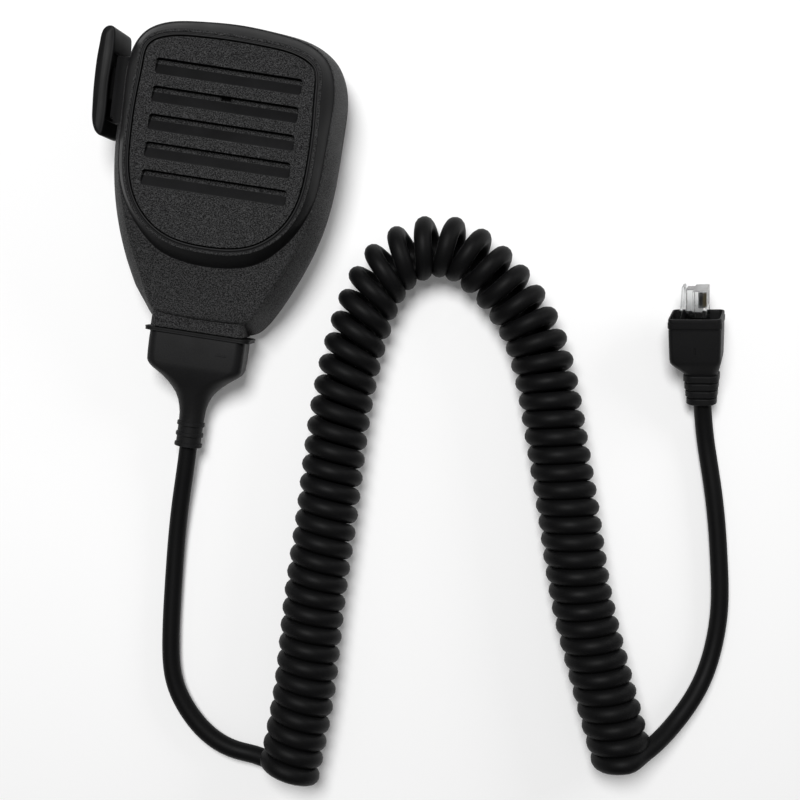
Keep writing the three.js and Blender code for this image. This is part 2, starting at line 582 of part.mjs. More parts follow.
function plugLatch() {
  const arm = (halfWidth, points) => {
    const shape = new THREE.Shape(points.map(([x, y]) => new THREE.Vector2(plugBlock.x + x, y)));
    const geometry = new THREE.ExtrudeGeometry(shape, { depth: halfWidth * 2, bevelEnabled: false });
    return solid(geometry.translate(0, 0, -halfWidth));
  };
  return arm(3, [[-3.6, 37.8], [-4.2, 37.8], [-4.9, 30.6], [-4.3, 30.4], [-3.6, 34.8]])
    .add(arm(1.6, [[-4.2, 31.4], [-4.85, 31.4], [-7.2, 22], [-6.3, 22]]));
}

add(modularPlug, 'plug_boot', plugBoot(), materials.rubber);
add(modularPlug, 'plug_body', plugBody(), materials.clearPlastic);
add(modularPlug, 'plug_latch', plugLatch(), materials.clearPlastic);
for (let i = 0; i < 8; i += 1) {
  const z = contactZ(i);
  const blade = box(plugBlock.x + 0.9, plugBlock.x + 3.1, 31.9, 36.1, z - 0.17, z + 0.17);
  add(modularPlug, `plug_contact_${i + 1}`, blade, materials.brass);
}

// ---- Cord ----
const coilAxis = coilRoute.map(([x, y]) => [x, y, cord.coilRadius]);
add(table, 'cord_tail_mic', tube(tailMicRoute, cord.radius, 30, 10), materials.cordJacket);
add(table, 'cord_coil', tube(coilAxis, cord.coilRadius, 48, 14), materials.cordJacket);
add(table, 'cord_tail_plug', tube(tailPlugRoute, cord.radius, 34, 10), materials.cordJacket);

export default handMicrophone;
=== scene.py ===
# Looks of the hand microphone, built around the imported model. Shapes are made in millimetres in the
# microphone's, the plug's or the table's own frame and then placed in the row frame in metres.
import json
import math
import bmesh
import bpy
import numpy as np
from mathutils import Matrix, Vector
from mathutils.geometry import delaunay_2d_cdt


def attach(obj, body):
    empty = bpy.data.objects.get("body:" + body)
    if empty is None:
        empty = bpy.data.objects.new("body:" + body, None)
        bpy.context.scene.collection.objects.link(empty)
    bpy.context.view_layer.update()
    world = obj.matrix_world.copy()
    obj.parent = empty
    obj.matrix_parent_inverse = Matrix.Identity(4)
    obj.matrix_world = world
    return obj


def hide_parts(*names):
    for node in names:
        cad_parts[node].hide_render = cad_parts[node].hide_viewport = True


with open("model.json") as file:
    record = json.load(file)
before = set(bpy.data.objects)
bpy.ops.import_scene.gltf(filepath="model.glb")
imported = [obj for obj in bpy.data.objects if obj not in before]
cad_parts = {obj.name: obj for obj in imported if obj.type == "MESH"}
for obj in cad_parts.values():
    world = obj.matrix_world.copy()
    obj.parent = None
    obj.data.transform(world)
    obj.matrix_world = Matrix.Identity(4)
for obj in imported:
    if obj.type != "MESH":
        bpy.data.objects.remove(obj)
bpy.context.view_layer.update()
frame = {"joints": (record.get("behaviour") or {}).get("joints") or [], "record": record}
MM = 0.001

# ---- Frames ----
mounts = {m["name"]: m for m in frame["record"]["mounts"]}


def frame_at(mount, local_point, x_axis, y_axis, z_axis):
    """Matrix from a piece's own millimetres to the row frame, from a mount at a known local point."""
    turn = Matrix((x_axis, y_axis, z_axis)).transposed()
    origin = Vector(mount["pos_m"]) - turn @ (Vector(local_point) * MM)
    return Matrix.Translation(origin) @ turn.to_4x4() @ Matrix.Scale(MM, 4)


stud_axis = Vector(mounts["stud_face"]["axis"])
MIC = frame_at(mounts["stud_face"], (6, 18, -18.5), Vector((1, 0, 0)), Vector((0, -stud_axis.z, stud_axis.y)),
               -stud_axis)
latch_joint = next(j for j in frame["joints"] if j["name"] == "latch_press")
nose_axis = Vector(mounts["plug_nose"]["axis"])
latch_axis = Vector(latch_joint["axis"])
PLUG = frame_at(mounts["plug_nose"], (-2, 37, 0), nose_axis.cross(latch_axis), nose_axis, latch_axis)
TABLE = Matrix.Translation((MIC.translation.x, MIC.translation.y, 0)) @ Matrix.Scale(MM, 4)

# ---- Camera and light ----
CAMERA = {"x": 0.0674, "y": -0.0409, "height": 0.380, "roll": 8.7, "lens": 53.1}
camera_data = bpy.data.cameras.new("camera")
camera_data.lens = CAMERA["lens"]
camera_data.sensor_width = 36
camera = bpy.data.objects.new("camera", camera_data)
camera.location = (CAMERA["x"], CAMERA["y"], CAMERA["height"])
camera.rotation_euler = (0, 0, math.radians(CAMERA["roll"]))
bpy.context.scene.collection.objects.link(camera)
bpy.context.scene.camera = camera
bpy.context.scene.view_settings.view_transform = "Standard"


def area_light(name, location, target, size, power):
    data = bpy.data.lights.new(name, "AREA")
    data.shape = "DISK"
    data.size = size
    data.energy = power
    lamp = bpy.data.objects.new(name, data)
    lamp.location = location
    lamp.rotation_euler = (Vector(target) - Vector(location)).to_track_quat("-Z", "Y").to_euler()
    bpy.context.scene.collection.objects.link(lamp)


middle = (CAMERA["x"], CAMERA["y"], 0)
area_light("key_light", (-0.12, 0.26, 0.95), middle, 0.45, 9.2)
area_light("fill_light", (0.75, 0.5, 0.35), middle, 0.5, 2.0)

world = bpy.data.worlds.new("world")
bpy.context.scene.world = world
world.use_nodes = True
world.node_tree.nodes["Background"].inputs["Color"].default_value = (1, 1, 1, 1)
world.node_tree.nodes["Background"].inputs["Strength"].default_value = 0.12


# ---- Materials ----
def node(tree, kind, values=None, **settings):
    made = tree.nodes.new(kind)
    for key, value in settings.items():
        setattr(made, key, value)
    for key, value in (values or {}).items():
        if isinstance(value, bpy.types.NodeSocket):
            tree.links.new(value, made.inputs[key])
        else:
            made.inputs[key].default_value = value
    return made


def material(name, color, roughness, **sockets):
    """A new material with its tree, its shader and the coordinates that its patterns follow."""
    made = bpy.data.materials.new(name)
    made.use_nodes = True
    tree = made.node_tree
    shader = tree.nodes["Principled BSDF"]
    shader.inputs["Base Color"].default_value = (*color, 1)
    shader.inputs["Roughness"].default_value = roughness
    for key, value in sockets.items():
        shader.inputs[key.replace("_", " ")].default_value = value
    where = node(tree, "ShaderNodeTexCoord").outputs["Object"]
    return made, tree, shader, where


def speckle(tree, where, scale, low, high, detail=2.0, roughness=0.6):
    """Noise as a number from 0 to 1, stretched between low and high."""
    noise = node(tree, "ShaderNodeTexNoise", {"Vector": where, "Scale": scale, "Detail": detail,
                                              "Roughness": roughness})
    return node(tree, "ShaderNodeMapRange", {"Value": noise.outputs["Fac"], "From Min": low, "From Max": high}
                ).outputs["Result"]


def tint(tree, amount, dark, light):
    ramp = node(tree, "ShaderNodeValToRGB", {"Fac": amount})
    ramp.color_ramp.elements[0].color = (*dark, 1)
    ramp.color_ramp.elements[1].color = (*light, 1)
    return ramp.outputs["Color"]


def ranged(tree, amount, low, high):
    return node(tree, "ShaderNodeMapRange", {"Value": amount, "To Min": low,
                                             "To Max": high}).outputs["Result"]


def bump(tree, height, depth, strength=1.0, normal=None):
    values = {"Height": height, "Distance": depth, "Strength": strength}
    if normal is not None:
        values["Normal"] = normal
    return node(tree, "ShaderNodeBump", values).outputs["Normal"]


def moulded(name, dark, light, rough, gloss, grain=0.0, depth=0.0):
    """Moulded plastic or rubber. grain is the size of its texture in metres, or 0 for a smooth face."""
    made, tree, shader, where = material(name, dark, rough[1], Specular_IOR_Level=gloss)
    link = tree.links.new
    cloud = speckle(tree, where, 95, 0.3, 0.7, 5)
    if grain:
        coarse = speckle(tree, where, 1 / grain, 0.36, 0.64, 1.5)
        fine = speckle(tree, where, 2.3 / grain, 0.36, 0.64, 1)
        height = node(tree, "ShaderNodeMath", {0: fine, 1: 0.4, 2: coarse},
                      operation="MULTIPLY_ADD").outputs[0]
        link(tint(tree, coarse, dark, light), shader.inputs["Base Color"])
        link(bump(tree, height, depth), shader.inputs["Normal"])
    else:
        scuff = speckle(tree, where, 1400, 0.3, 0.7, 6)
        link(tint(tree, cloud, dark, light), shader.inputs["Base Color"])
        link(bump(tree, scuff, 0.000004), shader.inputs["Normal"])
    link(ranged(tree, cloud, *rough), shader.inputs["Roughness"])
    return made


def metal(name, color, rough, brush):
    """Plated metal with fine marks, stretched along the given axis of the object."""
    made, tree, shader, where = material(name, color, rough[1], Metallic=1.0)
    link = tree.links.new
    stretched = node(tree, "ShaderNodeMapping", {"Vector": where, "Scale": brush}).outputs["Vector"]
    marks = speckle(tree, stretched, 900, 0.3, 0.7, 4)
    link(tint(tree, marks, [c * 0.82 for c in color], color), shader.inputs["Base Color"])
    link(ranged(tree, speckle(tree, where, 160, 0.3, 0.7), *rough), shader.inputs["Roughness"])
    link(bump(tree, marks, 0.000006), shader.inputs["Normal"])
    return made


def woven(name, dark, light, pitch):
    made, tree, shader, where = material(name, dark, 0.85)
    placed = {"Vector": where, "Scale": 1 / pitch / 6.2832 * 2}
    waves = [node(tree, "ShaderNodeTexWave", placed, bands_direction=axis).outputs["Fac"] for axis in "XY"]
    mesh = node(tree, "ShaderNodeMath", {0: waves[0], 1: waves[1]}, operation="MULTIPLY").outputs[0]
    tree.links.new(tint(tree, mesh, dark, light), shader.inputs["Base Color"])
    tree.links.new(bump(tree, mesh, 0.0001), shader.inputs["Normal"])
    return made


def clear_material():
    made, tree, shader, where = material("clear_polycarbonate", (0.78, 0.79, 0.79), 0.08,
                                         Transmission_Weight=1.0,
                                         IOR=1.58)
    flow = speckle(tree, where, 420, 0.3, 0.7, 3)
    tree.links.new(ranged(tree, flow, 0.04, 0.16), shader.inputs["Roughness"])
    tree.links.new(bump(tree, flow, 0.00002), shader.inputs["Normal"])
    return made


def board_material():
    made, tree, shader, where = material("solder_mask", (0.01, 0.09, 0.035), 0.35)
    cells = node(tree, "ShaderNodeTexVoronoi", {"Vector": where, "Scale": 260}, distance="MANHATTAN")
    limits = {"Value": cells.outputs["Distance"], "From Min": 0.28, "From Max": 0.34}
    lanes = node(tree, "ShaderNodeMapRange", limits).outputs["Result"]
    tree.links.new(tint(tree, lanes, (0.012, 0.11, 0.04), (0.008, 0.055, 0.025)), shader.inputs["Base Color"])
    tree.links.new(bump(tree, lanes, 0.00003), shader.inputs["Normal"])
    return made


GRAIN = moulded("grained_abs", (0.004, 0.004, 0.0042), (0.064, 0.064, 0.065),
                (0.52, 0.66), 0.18, 0.00036, 0.00022)
SMOOTH = moulded("smooth_abs", (0.0055, 0.0055, 0.0058), (0.0078, 0.0078, 0.0082), (0.4, 0.52), 0.11)
RUBBER = moulded("boot_rubber", (0.0058, 0.0058, 0.0061), (0.0088, 0.0088, 0.0092),
                 (0.46, 0.6), 0.15, 0.0003, 0.00001)
JACKET = moulded("cord_jacket", (0.0032, 0.0032, 0.0034), (0.0048, 0.0048, 0.0051),
                 (0.46, 0.58), 0.1, 0.0003, 0.00001)
# Near-black painted shade, put on faces deep in gaps and recesses (slot upper walls, sound hole, key gap,
# stem, seal) in place of the shade that falls there
PAINTED_SHADE = moulded("painted_shade_black", (0.002, 0.002, 0.002), (0.003, 0.003, 0.003), (0.8, 0.95), 0.05)
STEEL = metal("plated_steel", (0.62, 0.62, 0.61), (0.22, 0.38), (1, 1, 12))
BRASS = metal("brass", (0.78, 0.55, 0.23), (0.2, 0.36), (12, 1, 1))
GOLD = metal("gold_plate", (0.62, 0.5, 0.26), (0.14, 0.28), (1, 12, 1))
SCREEN = woven("dust_screen_cloth", (0.006, 0.006, 0.006), (0.02, 0.02, 0.02), 0.00035)
CLEAR = clear_material()
BOARD = board_material()
EPOXY = moulded("black_epoxy", (0.012, 0.012, 0.012), (0.02, 0.02, 0.02), (0.4, 0.55), 0.4, 0.00012, 0.00001)
SLEEVE = moulded("capacitor_sleeve", (0.015, 0.02, 0.08), (0.025, 0.03, 0.11), (0.25, 0.4), 0.5)
WHITE = moulded("white_nylon", (0.66, 0.63, 0.54), (0.75, 0.72, 0.63), (0.35, 0.5), 0.5)
WIRE_RED = moulded("red_wire", (0.32, 0.02, 0.02), (0.42, 0.03, 0.03), (0.35, 0.5), 0.5)
WIRE_WHITE = moulded("white_wire", (0.62, 0.6, 0.54), (0.72, 0.7, 0.64), (0.35, 0.5), 0.5)
WIRE_YELLOW = moulded("yellow_wire", (0.6, 0.42, 0.05), (0.7, 0.5, 0.08), (0.35, 0.5), 0.5)
WIRE_BLACK = moulded("black_wire", (0.01, 0.01, 0.01), (0.016, 0.016, 0.016), (0.35, 0.5), 0.4)

# ---- Floor ----
floor_mesh = bpy.data.meshes.new("floor")
floor_mesh.from_pydata([(-3, -3, 0), (3, -3, 0), (3, 3, 0), (-3, 3, 0)], [], [(0, 1, 2, 3)])
floor = bpy.data.objects.new("floor", floor_mesh)
floor.location.z = -0.0001
bpy.context.scene.collection.objects.link(floor)
floor_paint = material("floor_paint", (0.9, 0.9, 0.9), 0.8, Specular_IOR_Level=0.1,
                       Emission_Color=(1, 1, 1, 1), Emission_Strength=0.11)[0]
floor_mesh.materials.append(floor_paint)


# ---- Shapes ----
def spline(knots, step):
    """Points about one step apart on a natural cubic curve through the knots."""
    knots = np.array(knots, float)
    at_knots = np.r_[0, np.cumsum(np.linalg.norm(np.diff(knots, axis=0), axis=1))]
    span = np.diff(at_knots)
    system, right = np.eye(len(knots)), np.zeros_like(knots)
    for i in range(1, len(knots) - 1):
        system[i, i - 1:i + 2] = span[i - 1], 2 * (span[i - 1] + span[i]), span[i]
        right[i] = 6 * ((knots[i + 1] - knots[i]) / span[i] - (knots[i] - knots[i - 1]) / span[i - 1])
    bend = np.linalg.solve(system, right)
    travel = np.linspace(0, at_knots[-1], max(2, round(at_knots[-1] / step) + 1))
    i = np.clip(np.searchsorted(at_knots, travel, side="right") - 1, 0, len(span) - 1)
    h = span[i][:, None]
    a = (at_knots[i + 1] - travel)[:, None] / h
    b = 1 - a
    bow = (a ** 3 - a) * bend[i] + (b ** 3 - b) * bend[i + 1]
    return a * knots[i] + b * knots[i + 1] + bow * h ** 2 / 6


AROUND = 480
CENTRE = np.array((0, 4.0))
ANGLES = np.linspace(0, 2 * math.pi, AROUND, endpoint=False)


def loop_through(knots, step):
    """Points about one step apart on a smooth closed curve through the knots."""
    dense = spline(np.vstack([knots[-4:], knots, knots[:5]]), step)
    from_start = np.linalg.norm(dense - knots[0], axis=1)
    half_way = len(dense) // 2
    return dense[from_start[:half_way].argmin():half_way + from_start[half_way:].argmin()]


def closed(half):
    """Counter-clockwise outline through a right half, listed from the top down, and its mirror image."""
    half = np.array(half, float)
    return loop_through(np.vstack([half[::-1], half[1:-1] * (-1, 1)]), 0.2)


def normals(outline):
    along = np.roll(outline, -1, 0) - np.roll(outline, 1, 0)
    return np.c_[along[:, 1], -along[:, 0]] / np.linalg.norm(along, axis=1)[:, None]


def ring(outline, away, z):
    """AROUND points at a distance from the outline, at height z: a number or a function of x and y."""
    out = outline + normals(outline) * away - CENTRE
    turn = np.mod(np.arctan2(out[:, 1], out[:, 0]), 2 * math.pi)
    order = turn.argsort()
    radius = np.interp(ANGLES, turn[order], np.linalg.norm(out, axis=1)[order], period=2 * math.pi)
    flat = CENTRE + radius[:, None] * np.c_[np.cos(ANGLES), np.sin(ANGLES)]
    return at(flat, z)


def at(flat, z):
    return np.c_[flat, z(flat[:, 0], flat[:, 1]) if callable(z) else np.full(len(flat), float(z))]


def skin(rings, loop=False):
    """Points and faces through rings of equal length. Open stacks get a flat face at each end."""
    count = len(rings[0])
    faces = []
    for level in range(len(rings) if loop else len(rings) - 1):
        low, high = level * count, (level + 1) % len(rings) * count
        for i in range(count):
            j = (i + 1) % count
            faces.append((low + i, low + j, high + j, high + i))
    if not loop:
        faces.append(tuple(range(count))[::-1])
        faces.append(tuple(range((len(rings) - 1) * count, len(rings) * count)))
    return np.vstack(rings), faces


def joined(*shapes):
    points, faces = [], []
    for shape_points, shape_faces in shapes:
        start = sum(len(p) for p in points)
        points.append(np.asarray(shape_points, float))
        faces += [tuple(start + i for i in face) for face in shape_faces]
    return np.vstack(points), faces


def mesh_object(name, shape, place, materials=(), zones=None):
    """A closed mesh in the row frame, moved there by place. zones gives each face's material index."""
    points, faces = shape
    turn = np.array(place)
    mesh = bpy.data.meshes.new(name)
    mesh.from_pydata((points @ turn[:3, :3].T + turn[:3, 3]).tolist(), [], faces)
    for paint in materials:
        mesh.materials.append(paint)
    if zones is not None:
        mesh.polygons.foreach_set("material_index", np.array(zones, dtype=np.int32))
    work = bmesh.new()
    work.from_mesh(mesh)
    bmesh.ops.remove_doubles(work, verts=work.verts, dist=2e-7)
    bmesh.ops.recalc_face_normals(work, faces=work.faces)
    work.to_mesh(mesh)
    work.free()
    made = bpy.data.objects.new(name, mesh)
    bpy.context.scene.collection.objects.link(made)
    return made


def carve(made, operation, *tools):
    """Adds closed shapes to an object, or takes them away. Each tool is an object, which is used up."""
    for tool in tools:
        step = made.modifiers.new("step", "BOOLEAN")
        step.operation, step.object, step.solver = operation, tool, "EXACT"
        carved = bpy.data.meshes.new_from_object(made.evaluated_get(bpy.context.evaluated_depsgraph_get()))
        made.modifiers.clear()
        made.data = carved
        bpy.data.objects.remove(tool)
    return made


def finish_piece(made, body, replaces=(), crease=32, bevel=0.0):
    """Smooth shading with creases, an optional bevel, and the piece's body and replaced nodes."""
    mesh = made.data
    mesh.polygons.foreach_set("use_smooth", [True] * len(mesh.polygons))
    if bevel:
        rounding = made.modifiers.new("rounding", "BEVEL")
        rounding.width, rounding.segments, rounding.limit_method = bevel * MM, 3, "ANGLE"
        rounding.angle_limit = math.radians(40)
        rounding.use_clamp_overlap = True
    else:
        mesh.set_sharp_from_angle(angle=math.radians(crease))
    weighted = made.modifiers.new("weighted_normals", "WEIGHTED_NORMAL")
    weighted.keep_sharp = True
    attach(made, body)
    if replaces:
        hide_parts(*replaces)
    return made


def rounded(half_x, half_y, radius, centre=(0, 0), steps=7):
    """Points round a rectangle with round corners, counter-clockwise."""
    radius = min(radius, half_x - 1e-4, half_y - 1e-4)
    points = []
    for quarter, (sx, sy) in enumerate([(1, 1), (-1, 1), (-1, -1), (1, -1)]):
        for k in range(steps + 1):
            turn = (quarter + k / steps) * math.pi / 2
            points.append((centre[0] + sx * (half_x - radius) + radius * math.cos(turn),
                           centre[1] + sy * (half_y - radius) + radius * math.sin(turn)))
    return np.array(points)


def along_y(y, section):
    """A section across the y axis: its points are x and z."""
    return np.c_[section[:, 0], np.full(len(section), float(y)), section[:, 1]][::-1]


def along_x(x, section):
    return np.c_[np.full(len(section), float(x)), section]


def turned(profile, x, y, steps=72):
    """A lathed shape about an axis along z, from (radius, z) pairs, with a flat face at each end."""
    turn = np.linspace(0, 2 * math.pi, steps, endpoint=False)
    return skin([np.c_[x + r * np.cos(turn), y + r * np.sin(turn), np.full(steps, float(z))]
                 for r, z in profile])


def bar(x0, x1, y0, y1, z0, z1):
    flat = np.array([(x0, y0), (x1, y0), (x1, y1), (x0, y1)])
    return skin([at(flat, z0), at(flat, z1)])


def quarter_round(radius, steps=4):
    """Inward and downward amounts from the side of a convex edge to its top."""
    turns = np.linspace(0, math.pi / 2, steps + 1)
    return [(radius * (1 - math.cos(t)), radius * (1 - math.sin(t))) for t in turns]


# ---- Cases ----
GAP = 0.3
BACK, PARTING, CREST, PANEL_TOP, PANEL_SEAT = -13.6, -6.6, 13.9, 14.0, 11.4
PARTING_EDGE = closed([(0, 48.6), (12, 47.9), (22.2, 46.2), (29.6, 41.6), (33.4, 34), (34.3, 21), (34, 5),
                       (32.5, -8), (29, -20.5), (24.4, -31.5), (19.7, -40.3), (18.1, -42.5), (15.8, -44.5),
                       (12, -45.4), (0, -45.6)])
FRONT_EDGE = closed([(0, 46.2), (12, 45.5), (21, 44), (27.3, 40.4), (30.6, 34), (31.3, 22), (31, 8),
                     (29.6, -3),
                     (26, -16.5), (20.6, -29.5), (17, -37.3), (15.6, -39.6), (13.2, -40.8), (8, -41.4),
                     (0, -41.6)])
BEZEL_EDGE = closed([(0, 45.9), (12, 45.2), (20.8, 43.6), (26.9, 40.1), (30.3, 33.2), (30.9, 20.7),
                     (30.5, 6.8),
                     (29.1, -3.4), (24.8, -13), (20, -18.8), (14.6, -22.9), (7.4, -25.1), (0, -25.7)])
PANEL_EDGE = closed([(0, 40.3), (10.5, 40), (19.6, 38.7), (24.2, 35.9), (25.3, 30.5), (26, 20), (26.1, 8),
                     (25.2, -1.5), (22.2, -9.4), (18.2, -14.2), (13, -17.6), (6.7, -19.3), (0, -19.7)])

# Stations in y from the neck to the top, and how far the side wall swells out at each.
WALL_SWELL = ((-46, -41, -35, -27, -14, -4, 6, 14, 20, 48), (0, 0.3, 1.4, 1.6, 1.5, 1.4, 1.3, 1.2, 0.5, 0.3))


def face_z(x, y):
    """Height of the lower face, level beside the bezel and lower toward the neck and the sides."""
    fall = np.clip((-20 - y) / 21, 0, 1)
    return 8.9 - 1.5 * fall ** 1.3 - 0.5 * fall * (np.abs(x) / 20) ** 2.5


def front_case():
    parting = ring(PARTING_EDGE, 0, PARTING + 0.25)
    corner = ring(FRONT_EDGE, 0, face_z)
    foot = ring(BEZEL_EDGE, 0, face_z)
    down = (parting - corner) / np.linalg.norm(parting - corner, axis=1)[:, None]
    across = foot - corner
    width = np.linalg.norm(across, axis=1)[:, None]
    reach = np.minimum(1.1, 0.85 * width)
    across /= width
    wall_top = corner + down * reach
    swell = np.interp(parting[:, 1], *WALL_SWELL)[:, None]
    outward = (ring(PARTING_EDGE, 1, 0) - ring(PARTING_EDGE, 0, 0)) * swell
    rings = [ring(PARTING_EDGE, -0.25, PARTING), parting]
    rings += [parting + (wall_top - parting) * t + outward * math.sin(math.pi * t) ** 0.8
              for t in (0.04, 0.14, 0.27, 0.41, 0.55, 0.7, 0.84, 0.96)]
    rings += [corner + down * reach * (1 - t) ** 2 + across * reach * t ** 2 for t in np.linspace(0, 1, 7)]
    rings += [ring(BEZEL_EDGE, 0.12, face_z)]
    grained_to = len(rings)
    foot = ring(BEZEL_EDGE, 0, lambda x, y: face_z(x, y) + 0.04)
    shoulder = ring(PANEL_EDGE, 2.35, CREST - 0.42)
    rings += [foot]
    rings += [foot + (shoulder - foot) * t + (0, 0, 0.28 * math.sin(math.pi * t)) for t in
              (0.04, 0.2, 0.4, 0.6, 0.8, 0.95)]
    rings += [ring(PANEL_EDGE, 2.3, CREST - 0.3), ring(PANEL_EDGE, 2.15, CREST - 0.14)]
    band_from = len(rings)
    rings += [ring(PANEL_EDGE, away, z) for away, z in ((1.95, CREST - 0.04), (1.75, CREST), (1.42, CREST))]
    band_to = len(rings)
    rings += [ring(PANEL_EDGE, away, z) for away, z in (
        (1.38, CREST - 0.05), (1.32, CREST - 0.26), (1.08, CREST - 0.26), (1.02, CREST - 0.06),
        (0.93, CREST + 0.02),
        (0.8, CREST + 0.07), (0.52, CREST + 0.07), (0.39, CREST + 0.02), (0.33, CREST - 0.06),
        (0.3, PANEL_SEAT),
        (-1.5, PANEL_SEAT), (-1.5, 6.2))]
    rings += [ring(FRONT_EDGE, -2.5, 6.2), ring(PARTING_EDGE, -2.1, PARTING)]
    zones = []
    for band in range(len(rings)):
        smooth = grained_to <= band + 1 < band_from or band + 1 >= band_to
        zones += [1 if smooth else 0] * AROUND
    made = mesh_object("front_case_shell", skin(rings, loop=True), MIC, (GRAIN, SMOOTH), zones)
    return finish_piece(made, "microphone", ("front_case",), crease=38)


NECK_X, NECK_END = -0.8, -45.8


def neck(name, half_x, low, high, radius):
    """One half of the neck block, which the cord boot's lip stands against."""
    centre = (NECK_X, (low + high) / 2)
    stations = [(-36, 0.2)] + [(NECK_END + drop, inset) for inset, drop in quarter_round(0.4)]
    rings = [along_y(y, rounded(half_x - inset, (high - low) / 2 - inset / 2, radius, centre))
             for y, inset in stations]
    made = mesh_object(name, skin(rings), MIC, (GRAIN,))
    return finish_piece(made, "microphone")


SCREWS = [(-18, 40), (18, 40), (-15.5, -33), (15.5, -33)]


def rear_case():
    top = PARTING - GAP
    outer = [ring(PARTING_EDGE, -0.25, top), ring(PARTING_EDGE, 0, top - 0.25), ring(PARTING_EDGE, 0,
                                                                                     top - 1.4)]
    outer += [ring(PARTING_EDGE, -4.4 * (1 - math.cos(t)), BACK + 4 * (1 - math.sin(t)))
              for t in np.linspace(0, math.pi / 2, 11)]
    outer += [ring(PARTING_EDGE, -6, BACK)]
    inner = [ring(PARTING_EDGE, -6.4, BACK + 2.1), ring(PARTING_EDGE, -3.4, BACK + 3.1),
             ring(PARTING_EDGE, -2.1, BACK + 5.1), ring(PARTING_EDGE, -2.1, top)]
    made = mesh_object("rear_case_shell", skin(inner + outer), MIC, (GRAIN,))
    posts = [mesh_object("post", turned([(3.7, BACK + 1.5), (3.7, top - 0.1)], x, y), MIC) for x, y in SCREWS]
    wells = [mesh_object("well", turned([(3.3, BACK - 1), (3.3, BACK - 0.001), (3.0, BACK + 0.3),
                                         (2.8, BACK + 0.5),
                                         (2.8, BACK + 3.4)], x, y), MIC) for x, y in SCREWS]
    seat = mesh_object("seat", turned([(9.6, BACK - 1), (9.6, BACK - 0.001), (9.3, BACK + 0.25),
                                       (9.1, BACK + 0.35)],
                                      0, 18), MIC)
    carve(made, "UNION", *posts)
    carve(made, "DIFFERENCE", *wells, seat)
    return finish_piece(made, "microphone", ("rear_case",))


front_case()
neck("neck_front", 14.3, -6.6, 6.1, 1.5)
neck("neck_rear", 14.3, -12.2, -6.9, 1.3)
rear_case()


def key_collar():
    """The boss on the left side that the key's stem slides through. Its foot widens toward the neck, and its
    front rises into the bezel."""
    face_x, low, foot, end = -35.3, -6.6, 14, 32.6
    stations = [(face_x + drop, 6.1 - inset, inset, foot) for inset, drop in quarter_round(0.3, 3)][::-1]
    stations += [(-34.35, 6.33, 0, foot), (-34.2, 6.4, 0, foot - 1), (-33.6, 6.7, 0, foot - 1.4)]
    stations += [(x, top, 0, foot - 1.4) for x, top in ((-32.4, 7.7), (-31.4, 8.6), (-30.6, 9.1),
                                                        (-28.5, 9.4))]
    rings = [along_x(x, rounded((end - from_y) / 2 - inset, (top - low) / 2, 0.7,
                                ((end + from_y) / 2, (top + low) / 2)))
             for x, top, inset, from_y in stations]
    points, faces = skin(rings)
    # The collar's outer face beside the key gets painted shade (material 1), standing in for the shade in the
    # gap
    zones = [int(all(points[i][0] < face_x + 0.05 for i in face)) for face in faces]
    made = mesh_object("key_collar", (points, faces), MIC, (SMOOTH, PAINTED_SHADE), zones)
    carve(made, "DIFFERENCE", mesh_object("way", bar(-40, -33.6, 17.5, 31.7, -4.4, 4.9), MIC))
    return finish_piece(made, "microphone")


key_collar()

# ---- Front panel ----
SLOT = {"count": 5, "length": 43.4, "height": 4.8, "pitch": 8.15, "top": 32.7, "depth": 1.6, "ledge": 1.6,
        "corner": 1.1}
# The sound hole is a shallow pocket whose floor gets painted shade in place of a deep dark opening
HOLE = {"y": 23.8, "half_x": 1.5, "half_y": 0.45, "depth": 0.6}


def slot_half_height(x):
    past = np.clip(np.abs(x) - (SLOT["length"] / 2 - SLOT["corner"]), 0, SLOT["corner"])
    return SLOT["height"] / 2 - SLOT["corner"] + np.sqrt(SLOT["corner"] ** 2 - past ** 2)


def slot_edge_distance(x, y):
    """How far a point, measured from the slot's centre, lies inside the slot's rounded outline."""
    corner = SLOT["corner"]
    over_x = np.abs(x) - (SLOT["length"] / 2 - corner)
    over_y = np.abs(y) - (SLOT["height"] / 2 - corner)
    outside = np.hypot(np.maximum(over_x, 0), np.maximum(over_y, 0))
    return corner - outside - np.minimum(np.maximum(over_x, over_y), 0)


